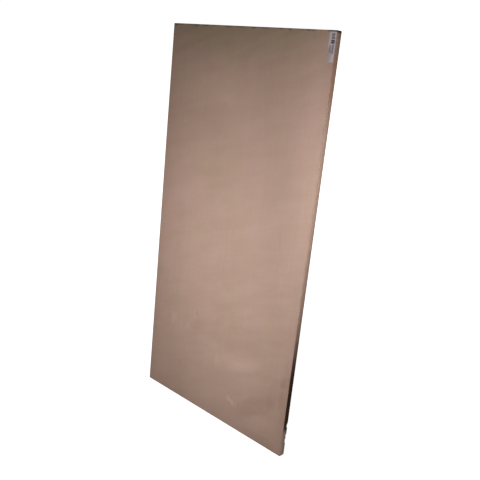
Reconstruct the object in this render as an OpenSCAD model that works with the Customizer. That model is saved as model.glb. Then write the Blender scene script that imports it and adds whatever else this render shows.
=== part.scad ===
// Plywood project panel: a rectangular sheet of cross-laid hardwood veneers, sanded on both
// faces and sawn square on all four edges. It lies flat with its good face up.
// X runs along the sheet and the grain of its face veneers, Y across it, and Z up through
// the plies. The origin is the middle of the back face.

/* [Sheet] */
// Length of the sheet, along the grain of its face veneers
sheet_length = 1220; // [600:10:3050]
// Width of the sheet, across the grain of its face veneers
sheet_width = 610; // [300:10:1525]
// Thickness of the sheet after sanding
sheet_thickness = 18; // [9:0.5:30]

/* [Plies] */
// Number of veneers, odd so that the grain of both faces runs the same way
ply_count = 13; // [5:2:15]
// Thickness of each face veneer, which sanding leaves thinner than the core veneers
face_veneer = 0.6; // [0.3:0.1:1.5]

/* [Sawn edges] */
// How far end grain stands back from the side grain of the plies above and below it
end_grain_relief = 0.2; // [0.05:0.05:0.5]
// Height and depth of the flat that sanding leaves along each arris of the two faces
arris = 0.4; // [0.1:0.1:1]
// How much of both edges handling has worn off each corner, behind the end-grain relief
corner_wear = 1; // [0.2:0.1:5]

/* [Hidden] */

core_veneer = (sheet_thickness - 2 * face_veneer) / (ply_count - 2);
// Heights of the back face, of each glue line and of the good face
ply_joints = [
    0,
    for (joint = [0 : ply_count - 2]) face_veneer + joint * core_veneer,
    sheet_thickness
];

// The faces and every second ply between them have their grain along X, and the rest along Y.
function runs_lengthwise(ply) = ply % 2 == 0;

// One sawn edge of a section across the given span, from the back face up. Each ply whose
// grain runs along the section shows its end grain there, and stands back from the saw line.
function sawn_edge(span, lengthwise) = [
    for (ply = [0 : ply_count - 1], height = [ply_joints[ply], ply_joints[ply + 1]])
        [span / 2 - (runs_lengthwise(ply) == lengthwise ? end_grain_relief : 0), height]
];

// The same edge on the far side of the section, from the good face down
function far_side(edge) = [
    for (i = [len(edge) - 1 : -1 : 0]) [-edge[i].x, edge[i].y]
];

// Rectangle about the origin with each corner cut off flat, the given cut back along both sides
module eased_rectangle(size, cut) {
    x = size.x / 2;
    y = size.y / 2;
    polygon([
        [x, y - cut], [x - cut, y],
        [cut - x, y], [-x, y - cut],
        [-x, cut - y], [cut - x, -y],
        [x - cut, -y], [x, cut - y]
    ]);
}

// Section through the whole lay-up, with sawn plies inside an outline of eased arrises
module lay_up_section(span, lengthwise) {
    plies = sawn_edge(span, lengthwise);
    intersection() {
        polygon(concat(plies, far_side(plies)));
        translate([0, sheet_thickness / 2])
            eased_rectangle([span, sheet_thickness], arris);
    }
}

// The section along the sheet, the section across it and its outline from above bound the
// same stack of veneers. The corners are worn past the end-grain relief of both edges.
module plywood_sheet() {
    color("#b5947f")
        intersection() {
            rotate([90, 0, 0])
                linear_extrude(sheet_width, center = true)
                    lay_up_section(sheet_length, lengthwise = true);
            rotate([90, 0, 90])
                linear_extrude(sheet_length, center = true)
                    lay_up_section(sheet_width, lengthwise = false);
            linear_extrude(sheet_thickness)
                eased_rectangle([sheet_length, sheet_width], 2 * end_grain_relief + corner_wear);
        }
}

plywood_sheet();
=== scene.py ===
# %% [markdown]
# # A sheet of plywood
# This lesson dresses one sheet of sanded hardwood plywood, 1220 x 610 x 18 mm. The packed
# model gives the size and place of the sheet, and everything here is built around it, in
# metres, in the same frame: X runs along the sheet and the grain of its faces, Y across it,
# and Z up through the plies. The good face is up.

# %% Load the fixed frame
import math
import random

import bmesh
import bpy
from mathutils import Matrix, Vector, noise


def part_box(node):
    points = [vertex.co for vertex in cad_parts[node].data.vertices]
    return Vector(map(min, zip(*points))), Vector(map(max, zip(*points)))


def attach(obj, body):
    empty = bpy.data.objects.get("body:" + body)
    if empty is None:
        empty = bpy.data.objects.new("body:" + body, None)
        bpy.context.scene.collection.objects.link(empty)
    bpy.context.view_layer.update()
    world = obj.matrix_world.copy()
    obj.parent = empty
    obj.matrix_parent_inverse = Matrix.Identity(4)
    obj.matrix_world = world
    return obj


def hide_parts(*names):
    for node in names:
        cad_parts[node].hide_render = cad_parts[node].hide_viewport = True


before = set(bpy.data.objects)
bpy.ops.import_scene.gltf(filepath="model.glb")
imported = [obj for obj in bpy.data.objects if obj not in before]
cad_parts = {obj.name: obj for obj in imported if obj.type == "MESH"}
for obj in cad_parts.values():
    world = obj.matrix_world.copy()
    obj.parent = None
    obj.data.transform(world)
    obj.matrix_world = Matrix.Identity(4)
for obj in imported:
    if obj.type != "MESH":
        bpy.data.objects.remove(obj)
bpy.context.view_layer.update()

MM = 0.001
low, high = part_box("plywood_sheet")
middle = (low + high) / 2
half = (high - low) / 2
print("sheet of", [round(side / MM, 1) for side in high - low], "mm")

# %% [markdown]
# ## The camera
# The photograph was taken from over the sheet's right long edge, with the head end of the
# sheet at the top of the picture. A camera can be turned by angles, but a picture is easier to
# match with three plain facts: where the camera stands, which point it looks at, and which
# direction is up in the picture. The three axes of the camera follow from those. The focal
# length and the width of the sensor are in millimetres, as on a real camera.

# %% Set up the camera
CAMERA_PLACE = Vector((0.4905, -1.2312, 1.3686))
CAMERA_AIM = Vector((0.0025, -0.0573, 0.0180))
PICTURE_UP = Vector((0.9596, 0.2505, -0.1279))
FOCAL_LENGTH = 46.5
SENSOR_WIDTH = 36

forward = (CAMERA_AIM - CAMERA_PLACE).normalized()
right = forward.cross(PICTURE_UP).normalized()
up = right.cross(forward)

camera = bpy.data.objects.new("camera", bpy.data.cameras.new("camera"))
camera.data.sensor_width = SENSOR_WIDTH
camera.data.lens = FOCAL_LENGTH
turned = Matrix((right, up, -forward)).transposed().to_4x4()
camera.matrix_world = Matrix.Translation(CAMERA_PLACE) @ turned
bpy.context.scene.collection.objects.link(camera)
bpy.context.scene.camera = camera
print("camera", round((CAMERA_AIM - CAMERA_PLACE).length, 2), "m from the sheet")

# %% [markdown]
# ## A helper for materials
# A material is a small network of nodes. It could be drawn in the editor, but a script can be
# rerun and read. One helper adds a node, with its settings and with a value or another node on
# each of its inputs. A second one turns a colour written in hexadecimal, as a picture shows
# it, into the linear numbers that Cycles works with.


# %% Add nodes and turn colours to linear
def add_node(owner, kind, inputs=None, **settings):
    """Adds a node to a material or world. An input takes a value, a node or a node's output."""
    node = owner.node_tree.nodes.new(kind)
    for name, value in settings.items():
        setattr(node, name, value)
    sockets = [socket for socket in node.inputs if socket.enabled]
    for key, value in (inputs or {}).items():
        socket = sockets[key] if isinstance(key, int) else next(s for s in sockets if s.name == key)
        if isinstance(value, bpy.types.Node):
            value = next(output for output in value.outputs if output.enabled)
        if isinstance(value, bpy.types.NodeSocket):
            owner.node_tree.links.new(value, socket)
        else:
            socket.default_value = value
    return node


def linear(hex_colour):
    """The linear RGBA of an sRGB colour such as #c7a797."""
    channels = [int(hex_colour[i:i + 2], 16) / 255 for i in (1, 3, 5)]
    return [c / 12.92 if c <= 0.04045 else ((c + 0.055) / 1.055) ** 2.4 for c in channels] + [1]


print("linear", [round(c, 3) for c in linear("#c7a797")])


# %% Start and finish a material
def new_material(name):
    """An empty node material."""
    material = bpy.data.materials.new(name)
    material.use_nodes = True
    material.node_tree.nodes.clear()
    return material


def finish_material(material, colour, roughness, height, depth_mm, specular):
    """Ends a network with its shader. A height of 1 stands depth_mm above a height of 0."""
    bump = add_node(material, "ShaderNodeBump", {"Distance": depth_mm * MM, "Height": height})
    shader = add_node(material, "ShaderNodeBsdfPrincipled", {
        "Base Color": colour, "Roughness": roughness, "Normal": bump, "IOR": 1.5,
        "Specular IOR Level": specular})
    add_node(material, "ShaderNodeOutputMaterial", {"Surface": shader})
    print(material.name, "has", len(material.node_tree.nodes), "nodes")


print("a relief of 0.05 mm is", 0.05 * MM, "m for the shader")

# %% [markdown]
# ## Patterns at their real size, and tints
# Wood is stretched along its grain: its pores are a few millimetres long and a few tenths
# wide. A noise texture is round, so its place is divided by the size that one blotch has in
# each direction. Written that way, each pattern carries its real size in millimetres, and can
# be checked against a ruler. A pattern then decides where a second colour is laid over the
# first, as a stain or dust lies on wood. Stains also have ragged outlines. Those come from
# moving each place a little, by noise, before asking how far it is from the stain.


# %% Find a place, draw a pattern and lay a tint
def place_on(material):
    """The place of each spot in the frame of the sheet, in metres."""
    return add_node(material, "ShaderNodeTexCoord").outputs["Object"]


def ragged_place(material, size_mm, reach):
    """The place of each spot, moved on by noise with blotches of size_mm, by 0 to reach."""
    place = place_on(material)
    ragged = add_node(material, "ShaderNodeTexNoise", {
        "Vector": place, "Scale": 1 / (size_mm * MM), "Detail": 3})
    return add_node(material, "ShaderNodeVectorMath", {
        0: ragged.outputs["Color"], 1: reach, 2: place}, operation="MULTIPLY_ADD")


def pattern(material, size_mm, detail=2, turn=0):
    """Noise around 0.5, mostly from 0.3 to 0.7, with blotches of size_mm along X, Y and Z."""
    stretched = add_node(material, "ShaderNodeMapping", {
        "Vector": place_on(material), "Rotation": (0, 0, math.radians(turn)),
        "Scale": [size * MM for size in size_mm]}, vector_type="TEXTURE")
    return add_node(material, "ShaderNodeTexNoise", {
        "Vector": stretched, "Scale": 1, "Detail": detail})


def tint(material, under, colour, where, start, end, strength=1.0):
    """Lays a colour over another, fading in where a pattern runs from start to end."""
    share = add_node(material, "ShaderNodeMapRange", {
        "Value": where, "From Min": start, "From Max": end, "To Max": strength},
        interpolation_type="SMOOTHSTEP")
    return add_node(material, "ShaderNodeMix", {
        "Factor": share, "A": under, "B": linear(colour)}, data_type="RGBA")


print("a blotch of 5 mm is", 5 * MM, "m long")

# %% [markdown]
# ## Marks on the good face
# Hands, dust and stacking have left faint marks on the face. Most run slanting over the grain
# and are paler than the wood, and a few small ones are darker. The head end is tinted greyer
# and darker, and its arris and the face beside the label darker still. One image texture could
# hold all of them, but it would fix their sharpness. Here each mark is a soft round spot that
# is stretched, turned and put in its place. Noise makes the outlines ragged and breaks the
# marks up along the direction of wiping.

# %% Place the marks
# Each mark: its middle in metres, its length and width in millimetres, the turn of its length
# from the X axis in degrees, and how much of its tint it takes. Its outline wanders by up to
# WANDER, and it fades out over SOFT_SHARE of the way from its rim to its middle.
PALE_MARKS = [
    ((-0.450, -0.040), (480, 340), -75, 0.24), ((-0.378, -0.112), (260, 95), -70, 0.20),
    ((-0.218, -0.132), (210, 90), -58, 0.16), ((-0.139, -0.103), (180, 55), -74, 0.14),
    ((-0.519, -0.075), (30, 28), -69, 0.27), ((-0.524, -0.094), (38, 18), 72, 0.34),
    ((-0.548, -0.203), (180, 75), -66, 0.26),
    ((-0.418, -0.012), (60, 40), 0, 0.14), ((-0.360, 0.038), (150, 50), -86, 0.15),
    ((-0.338, 0.200), (62, 34), -10, 0.38), ((-0.322, 0.118), (180, 30), -32, 0.20),
    ((-0.156, 0.007), (50, 32), 0, 0.17), ((-0.058, 0.035), (120, 40), -75, 0.13),
    ((0.040, 0.125), (40, 34), 0, 0.16), ((0.405, 0.003), (190, 50), -88, 0.15),
    ((0.450, 0.120), (340, 260), -65, 0.22), ((0.550, 0.100), (130, 100), 0, 0.12),
    ((0.260, -0.250), (260, 90), 0, 0.12),
]
DARK_MARKS = [
    ((-0.508, -0.172), (250, 90), -54, 0.22), ((-0.420, -0.260), (200, 80), -10, 0.16),
    ((-0.290, -0.062), (110, 60), -60, 0.08), ((-0.537, 0.158), (36, 12), 0, 0.20),
    ((-0.488, 0.155), (36, 12), -5, 0.24), ((-0.289, 0.094), (32, 10), 0, 0.30),
    ((-0.341, 0.232), (34, 22), 0, 0.16), ((0.010, -0.157), (80, 55), 90, 0.09),
    ((-0.400, -0.290), (340, 40), 0, 0.18), ((-0.595, -0.240), (140, 60), 90, 0.18),
    ((0.560, 0.230), (190, 90), 90, 0.16),
]
# The head end is tinted greyer and darker, and its arris and the face beside the label darker still
GREYER_DARKER_HEAD = [((0.705, 0.080), (560, 1300), 0, 0.54)]
DARKER_HEAD_ARRIS = [
    ((0.612, 0.050), (14, 1300), 0, 0.50), ((0.609, -0.290), (70, 12), 90, 0.66),
    ((0.575, -0.304), (100, 8), 0, 0.34), ((0.608, 0.292), (60, 15), 90, 0.42),
]
FACE_TINTS = [
    ("#e6c6b6", PALE_MARKS), ("#8a6350", DARK_MARKS), ("#a19277", GREYER_DARKER_HEAD),
    ("#2f2b25", DARKER_HEAD_ARRIS),
]
WANDER = 13 * MM
SOFT_SHARE = 0.6


def wiped_marks(material, marks):
    """How much tint each spot of the face takes from a list of marks."""
    place = ragged_place(material, 20, (2 * WANDER, 2 * WANDER, 0))
    total = 0.0
    for (x, y), (length, width), turn, strength in marks:
        spot = add_node(material, "ShaderNodeMapping", {
            "Vector": place, "Location": (x + WANDER, y + WANDER, high.z),
            "Rotation": (0, 0, math.radians(turn)),
            "Scale": (length * MM / 2, width * MM / 2, 1)}, vector_type="TEXTURE")
        ball = add_node(material, "ShaderNodeTexGradient", {"Vector": spot}, gradient_type="SPHERICAL")
        soft = add_node(material, "ShaderNodeMapRange", {
            "Value": ball, "From Max": SOFT_SHARE, "To Max": strength},
            interpolation_type="SMOOTHSTEP")
        total = add_node(material, "ShaderNodeMath", {0: soft, 1: total}, operation="ADD")
    streaks = pattern(material, (140, 26, 60), detail=3, turn=-70)
    broken = add_node(material, "ShaderNodeMapRange", {
        "Value": streaks, "From Min": 0.3, "From Max": 0.7, "To Min": 0.75, "To Max": 1.25})
    return add_node(material, "ShaderNodeMath", {0: total, 1: broken}, operation="MULTIPLY")


print(len(PALE_MARKS), "pale marks and", len(DARK_MARKS), "dark ones")

# %% [markdown]
# ## Sanded face veneer
# Both faces are rotary-cut veneers of a pinkish tropical hardwood, sanded to about 150 grit
# and left bare. Peeling a log gives hardly any figure: faint wide bands along the sheet, fine
# streaks, and open pores that show as short dark dashes. A picture of wood could be repeated
# over the face, but on a sheet this large the repeats would show. So one weak pattern is laid
# over another, each at its own size, and they never line up twice. Bare sanded wood scatters
# light in all directions, so it is rough and its highlight is weak. Its rim is a little darker,
# which the distance to the nearest edge tells.


# %% Measure how far the rim is
def rim_distance(material):
    """How far each spot is from the nearest edge of the sheet, which is centred on X and Y."""
    spread = add_node(material, "ShaderNodeVectorMath", {0: place_on(material)},
                      operation="ABSOLUTE")
    left = add_node(material, "ShaderNodeVectorMath", {0: half, 1: spread}, operation="SUBTRACT")
    sides = add_node(material, "ShaderNodeSeparateXYZ", {0: left})
    return add_node(material, "ShaderNodeMath", {
        0: sides.outputs["X"], 1: sides.outputs["Y"]}, operation="MINIMUM")


print("the middle is", round(min(half.xy), 3), "m from the nearest edge")


# %% Make the sanded face veneers
PORE_STARTS = 0.60
PORE_IS_DEEP = 0.72
DARKER_RIM = 40 * MM
DARK_RIM_WANDER = 12 * MM
DARK_RIM_STARTS = 11 * MM
DARK_RIM_IS_FULL = 5 * MM


def face_veneer(name, colour, darker, marked):
    """Sanded rotary-cut veneer with its grain along X.

    Real pores are 0.1 to 0.2 mm wide. They are drawn 0.5 mm wide, so that they show.
    """
    material = new_material(name)
    streaks = pattern(material, (60, 0.9, 5), detail=2)
    pores = pattern(material, (5, 0.5, 0.5), detail=1)
    wood = tint(material, linear(colour), darker, pattern(material, (600, 55, 20)), 0.3, 0.7, 0.10)
    wood = tint(material, wood, darker, streaks, 0.35, 0.7, 0.30)
    wood = tint(material, wood, darker, pattern(material, (140, 32, 40), 3, -72), 0.3, 0.7, 0.30)
    wood = tint(material, wood, "#d9b3a8", pattern(material, (260, 200, 90)), 0.4, 0.7, 0.25)
    wood = tint(material, wood, "#c4aa8c", pattern(material, (150, 110, 90), 3, 30), 0.45, 0.7, 0.24)
    wood = tint(material, wood, "#7d5a49", pores, PORE_STARTS, PORE_IS_DEEP, 0.28)
    for tint_colour, marks in FACE_TINTS if marked else []:
        wood = tint(material, wood, tint_colour, wiped_marks(material, marks), 0, 1)
    # The face is darker towards its rim, and darker still in a blotchy line close to it
    rim = rim_distance(material)
    wood = tint(material, wood, "#6f5444", rim, DARKER_RIM, 0, 0.10)
    blotches = pattern(material, (25, 25, 25), detail=3)
    rim_darkening = add_node(material, "ShaderNodeMath", {
        0: blotches, 1: DARK_RIM_WANDER, 2: rim}, operation="MULTIPLY_ADD")
    wood = tint(material, wood, "#57402f", rim_darkening, DARK_RIM_STARTS, DARK_RIM_IS_FULL, 0.26)
    ridges = add_node(material, "ShaderNodeMath", {0: streaks, 1: 0.5}, operation="MULTIPLY")
    pits = add_node(material, "ShaderNodeMapRange", {
        "Value": pores, "From Min": PORE_STARTS, "From Max": PORE_IS_DEEP})
    height = add_node(material, "ShaderNodeMath", {0: ridges, 1: pits}, operation="SUBTRACT")
    finish_material(material, wood, 0.68, height, depth_mm=0.04, specular=0.2)
    return material


good_face = face_veneer("sanded_hardwood_face_veneer", "#cfb0a0", "#b79684", marked=True)
back_face = face_veneer("sanded_hardwood_back_veneer", "#c9a38e", "#a57f6a", marked=False)

# %% [markdown]
# ## The sawn edges: side grain, end grain and glue
# A saw shows the plies in turn. A ply whose grain runs along the edge shows side grain, which
# is pale and finely lined. The next one points its fibres at us: end grain drinks light, so it
# is darker and full of dots. Between them lies a thin dark line of cured glue. Where a splinter
# has come off, the wood is fresh and paler. The right long edge is darkened by painted shade:
# it gets darker from the middle of the sheet towards the foot, and is almost black 110 to 205
# mm from the corner. The last 60 mm are pale. Its head end is browner, and black at the corner.
# One striped material could serve all edges, but real plies waver, and so will the mesh. With
# a material for each kind of grain the stripes follow the mesh, and each has its own bump.

# %% List the painted shade and the tints of the right long edge
# Each entry: its colour, how much of it, and along the sheet, in metres, where it starts, where
# it is full, where it weakens and where it ends. The first is painted shade, the others tints.
# Noise moves all four places towards the foot, by up to SHADE_AND_TINT_WANDER.
EDGE_SHADE_AND_TINTS = [
    # Painted shade: this first entry darkens the foot of the right edge to near black
    ("#34170a", 0.97, (-0.12, -0.39, -0.485, -0.53)),
    ("#f4dcca", 0.70, (-0.500, -0.535, -0.80, -0.90)),
    ("#a86f4c", 0.30, (0.40, 0.48, 0.52, 0.60)),
    ("#5a4035", 0.16, (0.50, 0.58, 0.70, 0.80)),
    ("#2b2821", 0.80, (0.614, 0.624, 0.70, 0.80)),
]
RIGHT_EDGE = (low.y + 12 * MM, low.y + 6 * MM)
SHADE_AND_TINT_WANDER = 30 * MM


def shade_and_tint_share(material, reach):
    """How much of a tint, or of the painted shade, each spot of the right edge has, from 0 to 1."""
    start, full, weaker, end = reach
    side = add_node(material, "ShaderNodeSeparateXYZ", {
        0: ragged_place(material, 25, (SHADE_AND_TINT_WANDER, 0, 0))})
    amount = 1.0
    for axis, none, whole in (("X", start, full), ("X", end, weaker), ("Y", *RIGHT_EDGE)):
        share = add_node(material, "ShaderNodeMapRange", {
            "Value": side.outputs[axis], "From Min": none, "From Max": whole},
            interpolation_type="SMOOTHSTEP")
        amount = add_node(material, "ShaderNodeMath", {0: share, 1: amount}, operation="MULTIPLY")
    return amount


print(len(EDGE_SHADE_AND_TINTS), "tints on the right long edge")


# %% Make the materials of the sawn edges
PAINTED_SHADE_BELOW = 15 * MM


def sawn_wood(name, pale, dark, size_mm, depth_mm, detail=2, tints=EDGE_SHADE_AND_TINTS):
    """Sawn wood whose fine pattern has the given size, made browner towards its back by painted shade.
    """
    material = new_material(name)
    fine = pattern(material, size_mm, detail)
    wood = tint(material, linear(dark), pale, fine, 0.35, 0.65)
    wood = tint(material, wood, dark, pattern(material, (60, 60, 1.6)), 0.35, 0.7, 0.3)
    wood = tint(material, wood, dark, pattern(material, (1.2, 1.2, 40)), 0.45, 0.7, 0.4)
    height = add_node(material, "ShaderNodeSeparateXYZ", {0: place_on(material)}).outputs["Z"]
    # Painted shade: the plies near the back face are darkened, as if the edge were lit from above
    wood = tint(material, wood, "#7a5344", height, PAINTED_SHADE_BELOW, 0, 0.32)
    for colour, strength, reach in tints:
        wood = tint(material, wood, colour, shade_and_tint_share(material, reach), 0, 1, strength)
    finish_material(material, wood, 0.8, fine, depth_mm, specular=0.1)
    return material


# The dots of real end grain are 0.1 to 0.2 mm wide, and are drawn coarser here, so that they show
side_grain = sawn_wood("sawn_side_grain", "#dabfb0", "#c3a696", (30, 30, 0.25), 0.05)
end_grain = sawn_wood("sawn_end_grain", "#c9ab9c", "#9c7e6f", (0.5, 0.5, 0.35), 0.10, detail=1)
fresh_wood = sawn_wood("torn_fresh_wood", "#f6ead9", "#e0cbb6", (4, 4, 0.3), 0.15, tints=[])
glue_line = sawn_wood("cured_glue_line", "#7d5a4b", "#5c3f33", (3, 3, 0.3), 0.02)

# %% [markdown]
# ## The block and its plies
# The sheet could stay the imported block, but real edges are what makes plywood look like
# plywood, so a finer sheet replaces it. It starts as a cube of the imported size. Its four
# corners are beveled round, because handling wears them, and then the arrises of both faces,
# which sanding breaks. A cut above and below each glue line divides the edges into plies.

# %% Cut the block and its plies
PLIES = 13
FACE_VENEER = 0.6 * MM
CORE_VENEER = (2 * half.z - 2 * FACE_VENEER) / (PLIES - 2)
ARRIS = 0.4 * MM
CORNER_RADIUS = 2.4 * MM
GLUE = 0.14 * MM
ON_PLANE = 0.001 * MM

sheet = bmesh.new()
bmesh.ops.create_cube(sheet, size=2)
bmesh.ops.scale(sheet, vec=half, verts=sheet.verts)
bmesh.ops.translate(sheet, vec=middle, verts=sheet.verts)

uprights = [e for e in sheet.edges if abs(e.verts[0].co.z - e.verts[1].co.z) > half.z]
bmesh.ops.bevel(sheet, geom=uprights, offset=CORNER_RADIUS, segments=4, profile=0.5,
                affect="EDGES", material=-1)
arrises = [e for e in sheet.edges if abs(e.verts[0].co.z - e.verts[1].co.z) < half.z]
bmesh.ops.bevel(sheet, geom=arrises, offset=ARRIS, segments=2, profile=0.5,
                affect="EDGES", material=-1)

glue_heights = [low.z + FACE_VENEER + i * CORE_VENEER for i in range(PLIES - 1)]
for glue_height in glue_heights:
    for side in (-1, 1):
        bmesh.ops.bisect_plane(sheet, geom=sheet.verts[:] + sheet.edges[:] + sheet.faces[:],
                               dist=ON_PLANE, plane_co=(0, 0, glue_height + side * GLUE / 2),
                               plane_no=(0, 0, 1))
print(len(sheet.faces), "faces after the cuts for", PLIES, "plies")

# %% [markdown]
# ## Room for detail along the edges
# A torn fibre is a millimetre or two long, so the edges need short faces. Subdividing would
# draw its grid right across both faces as well, where nothing needs it. So these two are taken
# out first, the long lines that are left on the edges are divided, and each hole is filled
# with one flat polygon again. Detail costs triangles only where the eye finds it.

# %% Divide the long lines of the edges
EDGE_STEP = 2 * MM

bmesh.ops.delete(sheet, geom=[f for f in sheet.faces if abs(f.normal.z) > 0.99], context="FACES_ONLY")
for reach in (half.x, half.y):
    lines = [e for e in sheet.edges if abs(e.calc_length() / (2 * reach) - 1) < 0.02]
    bmesh.ops.subdivide_edges(sheet, edges=lines, cuts=round(2 * reach / EDGE_STEP) - 1)
bmesh.ops.holes_fill(sheet, edges=[e for e in sheet.edges if e.is_boundary])
bmesh.ops.recalc_face_normals(sheet, faces=sheet.faces[:])
sheet.normal_update()
print(len(sheet.faces), "faces with edges divided every", EDGE_STEP / MM, "mm")

# %% [markdown]
# ## A material for each ply
# The faces could be picked by hand in the editor, one loop after another. A script can ask
# each face instead: while the mesh is still straight, its height says which ply it belongs to.
# Plies with an even number have their grain along the sheet. They show side grain on the long
# edges and end grain on the short ones, and the others the opposite.

# %% Give each face of the sheet its material
SHEET_MATERIALS = [good_face, back_face, side_grain, end_grain, glue_line, fresh_wood]


def inward(place):
    """The direction across the edge towards the middle of the sheet, with its corners round."""
    reach = half.xy - Vector((CORNER_RADIUS, CORNER_RADIUS))
    nearest = Vector((max(-reach.x, min(reach.x, place.x)), max(-reach.y, min(reach.y, place.y))))
    return (nearest - place.xy).normalized()


def ply_at(height):
    """The number of the ply at a height, from 0 at the back face."""
    return sum(height > glue_height for glue_height in glue_heights)


def shows_end_grain(place):
    """Whether the ply at a place on the edge points its fibres outwards."""
    on_long_edge = abs(inward(place).y) > 0.5
    lengthwise = ply_at(place.z) % 2 == 0
    return on_long_edge != lengthwise


for face in sheet.faces:
    place = face.calc_center_median()
    if abs(face.normal.z) > 0.99:
        material = good_face if face.normal.z > 0 else back_face
    elif min(abs(place.z - glue_height) for glue_height in glue_heights) < GLUE / 2:
        material = glue_line
    elif shows_end_grain(place):
        material = end_grain
    else:
        material = side_grain
    face.material_index = SHEET_MATERIALS.index(material)
    face.smooth = False
print({m.name: sum(f.material_index == i for f in sheet.faces) for i, m in enumerate(SHEET_MATERIALS)})

# %% [markdown]
# ## What the saw leaves
# End grain stands back a little from the side grain, because its fibres are cut short and
# crumble. The plies also waver up and down by a tenth of a millimetre, since veneers are
# never quite even. At the short ends the saw lifts splinters off the face veneers. A bump in
# the material would be enough for the relief, but not for a splinter that breaks the outline.
# So each of these is a small move of the points on the edge, driven by noise, which gives the
# same result each time.

# %% Move the points of the edges
SAW_MARKS = 0.03 * MM
RELIEF = 0.2 * MM
SPLINTER = 1.6 * MM
WAVER = 0.10 * MM


def ripple(place, size_mm, seed):
    """Smooth noise from -1 to 1 with blotches of a real size."""
    return noise.noise(place / (size_mm * MM) + Vector((seed, seed, seed)))


for vert in sheet.verts:
    place = vert.co.copy()
    across = inward(place)
    along_edge = Vector((place.x, place.y, 0))
    back = SAW_MARKS * (1 + ripple(place, 2.5, 1))
    if shows_end_grain(place) and ARRIS < place.z < high.z - ARRIS:
        back += RELIEF * (0.75 + 0.25 * ripple(place, 1.5, 2))
    if abs(across.x) > 0.5 and min(place.z - low.z, high.z - place.z) < FACE_VENEER:
        back += SPLINTER * max(0, ripple(along_edge, 3.5, 3 if place.z > middle.z else 9) - 0.25)
    vert.co.xy += across * back
    if ARRIS < place.z < high.z - ARRIS:
        vert.co.z += WAVER * ripple(along_edge, 70, 5 + ply_at(place.z - GLUE))
print("edges moved by up to", round((RELIEF + SPLINTER) / MM, 1), "mm")

# %% [markdown]
# ## Chips at the foot
# Near its foot the right long edge has lost three small splinters from its back arris, which
# show pale in the photograph. A boolean could cut them out, but torn wood has no clean walls.
# Here the points near the middle of a chip move inwards most, with a ragged noise on top, and
# its faces get the fresh wood.

# %% Break the chips out of the foot
# Each chip: its place along the sheet in metres, and its half length, height and depth in mm
CHIPS = [(-0.5113, 8, 5.5, 2.4), (-0.5460, 7, 4.5, 2.2), (-0.5624, 9, 6.0, 2.8)]

for x, half_length, height, depth in CHIPS:
    torn = set()
    for vert in sheet.verts:
        place = vert.co
        if place.y > low.y + 1 * MM or abs(place.x - x) > half_length * MM:
            continue
        reach = 1 - ((place.x - x) / (half_length * MM)) ** 2 - (place.z - low.z) / (height * MM)
        if reach > 0:
            torn.add(vert)
            vert.co.y += depth * MM * min(1, 2 * reach) * (0.8 + 0.4 * ripple(place, 1.2, 4))
    for face in {f for vert in torn for f in vert.link_faces}:
        if abs(face.normal.z) < 0.9:
            face.material_index = SHEET_MATERIALS.index(fresh_wood)
print(len(CHIPS), "chips at the foot")

# %% [markdown]
# ## Core gaps
# The inner plies are laid from strips, and where two strips don't quite meet, the saw opens a
# small dark slot. A dark spot in the material would look the same from afar, but a real slot
# keeps its shadow from every side. Each one is an end-grain face that is inset, shortened and
# pushed into the sheet. A seeded random choice picks the same faces each time, and how much of
# its length and of the full depth each one keeps.

# %% Sink the core gaps
GAPS = 26
GAP_DEPTH = 6 * MM
GAP_LENGTHS = (0.35, 0.9)
GAP_DEPTHS = (0.5, 1)
GAP_RIM = 0.05 * MM
SMALLEST_FACE = 2 * MM * MM

end_index = SHEET_MATERIALS.index(end_grain)
slots = [f for f in sheet.faces if f.material_index == end_index
         and f.calc_area() > SMALLEST_FACE
         and abs(f.calc_center_median().z - middle.z) < half.z - 2 * CORE_VENEER]
chance = random.Random(11)
slots = chance.sample(slots, GAPS)
bmesh.ops.inset_individual(sheet, faces=slots, thickness=GAP_RIM)
for slot in slots:
    centre = slot.calc_center_median()
    length = chance.uniform(*GAP_LENGTHS)
    across = inward(centre)
    stretch = (length, 1, 1) if abs(across.y) > 0.5 else (1, length, 1)
    bmesh.ops.scale(sheet, vec=stretch, space=Matrix.Translation(-centre), verts=slot.verts)
    floor_of_slot = bmesh.ops.extrude_discrete_faces(sheet, faces=[slot])["faces"][0]
    depth = GAP_DEPTH * chance.uniform(*GAP_DEPTHS)
    bmesh.ops.translate(sheet, vec=(*(across * depth), 0), verts=floor_of_slot.verts)
print(len(slots), "core gaps")

# %% [markdown]
# ## The finished sheet
# A bmesh is a draft in memory, and an object is what the scene shows and the export takes. The
# object sits at the origin, and its place is in its points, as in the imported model. It could be
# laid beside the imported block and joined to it, but two sheets in one place would flicker, so
# it replaces the block.


# %% Turn the mesh into the sheet
def object_from(mesh, name, materials):
    """Makes an object of a finished mesh, at the origin, with its place in its points."""
    data = bpy.data.meshes.new(name)
    mesh.to_mesh(data)
    mesh.free()
    for material in materials:
        data.materials.append(material)
    made = bpy.data.objects.new(name, data)
    bpy.context.scene.collection.objects.link(made)
    data.calc_loop_triangles()
    print(name, "has", len(data.loop_triangles), "triangles")
    return made


plywood = object_from(sheet, "cross_laid_sheet", SHEET_MATERIALS)
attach(plywood, "root")
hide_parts("plywood_sheet")

# %% [markdown]
# ## The paper label
# A small sticker lies at the head of the right long edge. It is a strip of matt paper with
# rounded corners. What is printed on it is generic: plain lines and blocks, and no words. The
# print could be an image, or a pattern in the material, but lines this fine stay sharpest as
# faces. So the strip is cut along the outlines of the print, and the printed faces take an ink.

# %% Set the size of the label and its print
LABEL_LENGTH = 74 * MM
LABEL_WIDTH = 21 * MM
LABEL_THICKNESS = 0.1 * MM
LABEL_CORNER = 1.2 * MM
LABEL_FROM_HEAD = 3.8 * MM
LABEL_FROM_EDGE = 1.8 * MM


def line_block(start, end, side, line, gap, count):
    """Printed lines along the label, in mm from its head end and from its right side."""
    sides = [side + i * (line + gap) for i in range(count)]
    return [(start, end, near, near + line) for near in sides]


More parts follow.
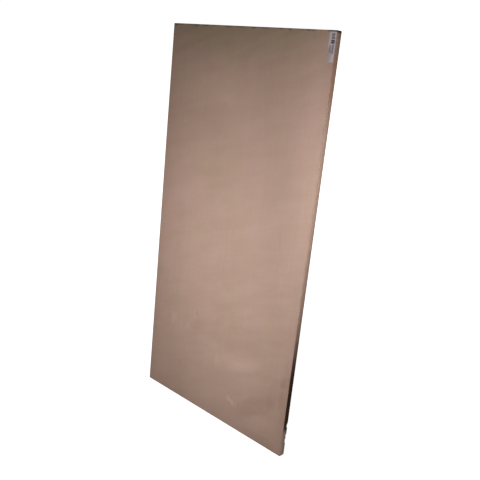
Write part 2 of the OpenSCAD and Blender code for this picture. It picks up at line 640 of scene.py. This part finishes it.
# Violet, grey and dark print, each block with its start, end, near side and far side in mm
PRINTS = [
    line_block(31, 53, 4, 1.3, 0.5, 3) + line_block(33, 50, 10, 0.6, 1.2, 2)
    + line_block(32, 51, 13.8, 1.3, 0.5, 2),
    line_block(4, 10, 4.5, 1.5, 0.3, 5) + line_block(11.2, 18, 4.1, 1.5, 0.3, 5)
    + [(20, 28.7, 2.8, 5.8)],
    [(20, 24, 5.8, 13.6), (24.7, 28.7, 5.8, 13.6)],
]
blocks = [block for ink in PRINTS for block in ink]
print(len(blocks), "printed blocks")

# %% Cut the label along its print
label = bmesh.new()
bmesh.ops.create_grid(label, x_segments=1, y_segments=1, size=0.5)
bmesh.ops.scale(label, vec=(LABEL_LENGTH, LABEL_WIDTH, 1), verts=label.verts)
bmesh.ops.bevel(label, geom=label.verts[:], offset=LABEL_CORNER, segments=4, profile=0.5,
                affect="VERTICES", material=-1)
head = high.x - LABEL_FROM_HEAD
right_side = low.y + LABEL_FROM_EDGE
label_middle = (head - LABEL_LENGTH / 2, right_side + LABEL_WIDTH / 2, high.z)
bmesh.ops.translate(label, vec=label_middle, verts=label.verts)

cuts = [((head - edge * MM, 0, 0), (1, 0, 0)) for block in blocks for edge in block[:2]]
cuts += [((0, right_side + edge * MM, 0), (0, 1, 0)) for block in blocks for edge in block[2:]]
for point, normal in sorted(set(cuts)):
    bmesh.ops.bisect_plane(label, geom=label.verts[:] + label.edges[:] + label.faces[:],
                           dist=ON_PLANE, plane_co=point, plane_no=normal)
bmesh.ops.solidify(label, geom=label.faces[:], thickness=-LABEL_THICKNESS)
bmesh.ops.recalc_face_normals(label, faces=label.faces[:])
print(len(label.faces), "faces in the label")

# %% [markdown]
# ## Paper and ink
# Uncoated paper is a mat of fibres: pale, rough, with a faint mottle. It has gone a little
# grey here, and brown at its foot, where one more soft mark lies on it. The ink of a thermal
# or laser print lies in the paper and has no thickness, so it needs no piece of its own. It
# could be painted by a pattern, but the label is already cut along its print. So one function
# makes the paper, and each ink is the same paper in a darker colour.


# %% Make the paper and the inks
# The one mark on the paper, written like the marks on the face
SOILED_PAPER = [((0.545, -0.286), (60, 26), 0, 0.55)]


def printed_paper(name, pale, dark):
    """Matt paper, bare or inked, with a faint mottle of 3 mm."""
    material = new_material(name)
    mottle = pattern(material, (3, 3, 3), detail=3)
    colour = tint(material, linear(pale), dark, mottle, 0.3, 0.7)
    colour = tint(material, colour, "#9c8474", wiped_marks(material, SOILED_PAPER), 0, 1)
    finish_material(material, colour, 0.8, mottle, depth_mm=0.02, specular=0.3)
    return material


LABEL_MATERIALS = [
    printed_paper("matt_label_paper", "#d6cfd0", "#c8bfc3"),
    printed_paper("violet_print_on_paper", "#86768a", "#6f5f74"),
    printed_paper("grey_print_on_paper", "#7d7478", "#696165"),
    printed_paper("dark_print_on_paper", "#4c3c4d", "#3b2e3c"),
]


# %% Ink the printed faces
def ink_at(place):
    """The material number at a place on the label: 0 for bare paper, and 1 to 3 for an ink."""
    along = (head - place.x) / MM
    across = (place.y - right_side) / MM
    for number, ink in enumerate(PRINTS, start=1):
        if any(start < along < end and near < across < far for start, end, near, far in ink):
            return number
    return 0


for face in label.faces:
    if face.normal.z > 0.9:
        face.material_index = ink_at(face.calc_center_median())
paper_label = object_from(label, "paper_label", LABEL_MATERIALS)
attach(paper_label, "root")
print("label", [round(side / MM, 1) for side in paper_label.dimensions], "mm")

# %% [markdown]
# ## Floor and background
# The photograph shows the sheet on white. A white floor under strong light would wash the
# sheet out, so the floor has its pale colour for the light that it throws back, and glows
# only where the camera sees it. Its shadow stays. The world does the same: it fills the
# shadows with a weak warm light, and is white where it is seen.


# %% Make the floor
FLOOR_RADIUS = 30
FLOOR_GLOW = 0.95


def seen_directly(owner):
    """1 for what the camera sees, also in gloss or through glass, and 0 for light."""
    path = add_node(owner, "ShaderNodeLightPath")
    seen = path.outputs["Is Camera Ray"]
    for ray in ("Is Glossy Ray", "Is Transmission Ray"):
        seen = add_node(owner, "ShaderNodeMath", {0: seen, 1: path.outputs[ray]}, operation="MAXIMUM")
    return seen


floor_paint = new_material("pale_studio_floor")
pale = add_node(floor_paint, "ShaderNodeBsdfDiffuse", {"Color": linear("#e2e0dd")})
glow_strength = add_node(floor_paint, "ShaderNodeMath", {
    0: seen_directly(floor_paint), 1: FLOOR_GLOW}, operation="MULTIPLY")
glow = add_node(floor_paint, "ShaderNodeEmission", {"Strength": glow_strength})
floor_look = add_node(floor_paint, "ShaderNodeAddShader", {0: pale, 1: glow})
add_node(floor_paint, "ShaderNodeOutputMaterial", {"Surface": floor_look})

ground = bmesh.new()
bmesh.ops.create_circle(ground, cap_ends=True, radius=FLOOR_RADIUS, segments=64)
floor = object_from(ground, "floor", [floor_paint])

# %% Make the background
FILL_STRENGTH = 0.11

world = bpy.data.worlds.new("studio")
bpy.context.scene.world = world
world.use_nodes = True
world.node_tree.nodes.clear()
fill = add_node(world, "ShaderNodeBackground", {
    "Color": linear("#fff4ea"), "Strength": FILL_STRENGTH})
white = add_node(world, "ShaderNodeBackground", {"Color": linear("#ffffff"), "Strength": 1.0})
sky = add_node(world, "ShaderNodeMixShader", {0: seen_directly(world), 1: fill, 2: white})
add_node(world, "ShaderNodeOutputWorld", {"Surface": sky})
print("the world has", len(world.node_tree.nodes), "nodes")

# %% [markdown]
# ## Light
# Two soft lamps light the sheet: one over its middle, and one low beside the right long edge.
# With them the light fades towards the corners as it does in the photograph. A single large
# lamp would be simpler, but it would light the face evenly and leave the edge dark. Their
# places were found by comparing the brightness over the whole face and along the edge.


# %% Hang the lamps
def soft_lamp(name, place, aim, side, watts):
    """A square lamp that shines from a place towards a point."""
    lamp = bpy.data.objects.new(name, bpy.data.lights.new(name, "AREA"))
    lamp.data.size = side
    lamp.data.energy = watts
    lamp.location = place
    lamp.rotation_euler = (Vector(aim) - Vector(place)).to_track_quat("-Z", "Y").to_euler()
    lamp.visible_camera = False
    bpy.context.scene.collection.objects.link(lamp)
    print(name, "gives", watts, "W")


soft_lamp("lamp_over_middle", (0.023, 0.031, 0.783), (-0.242, -0.471, 0.018), 0.4, 4.98)
soft_lamp("lamp_beside_edge", (0.135, -0.694, 0.280), (0.170, -0.852, -0.039), 0.51, 5.55)

bpy.context.scene.view_settings.view_transform = "Standard"
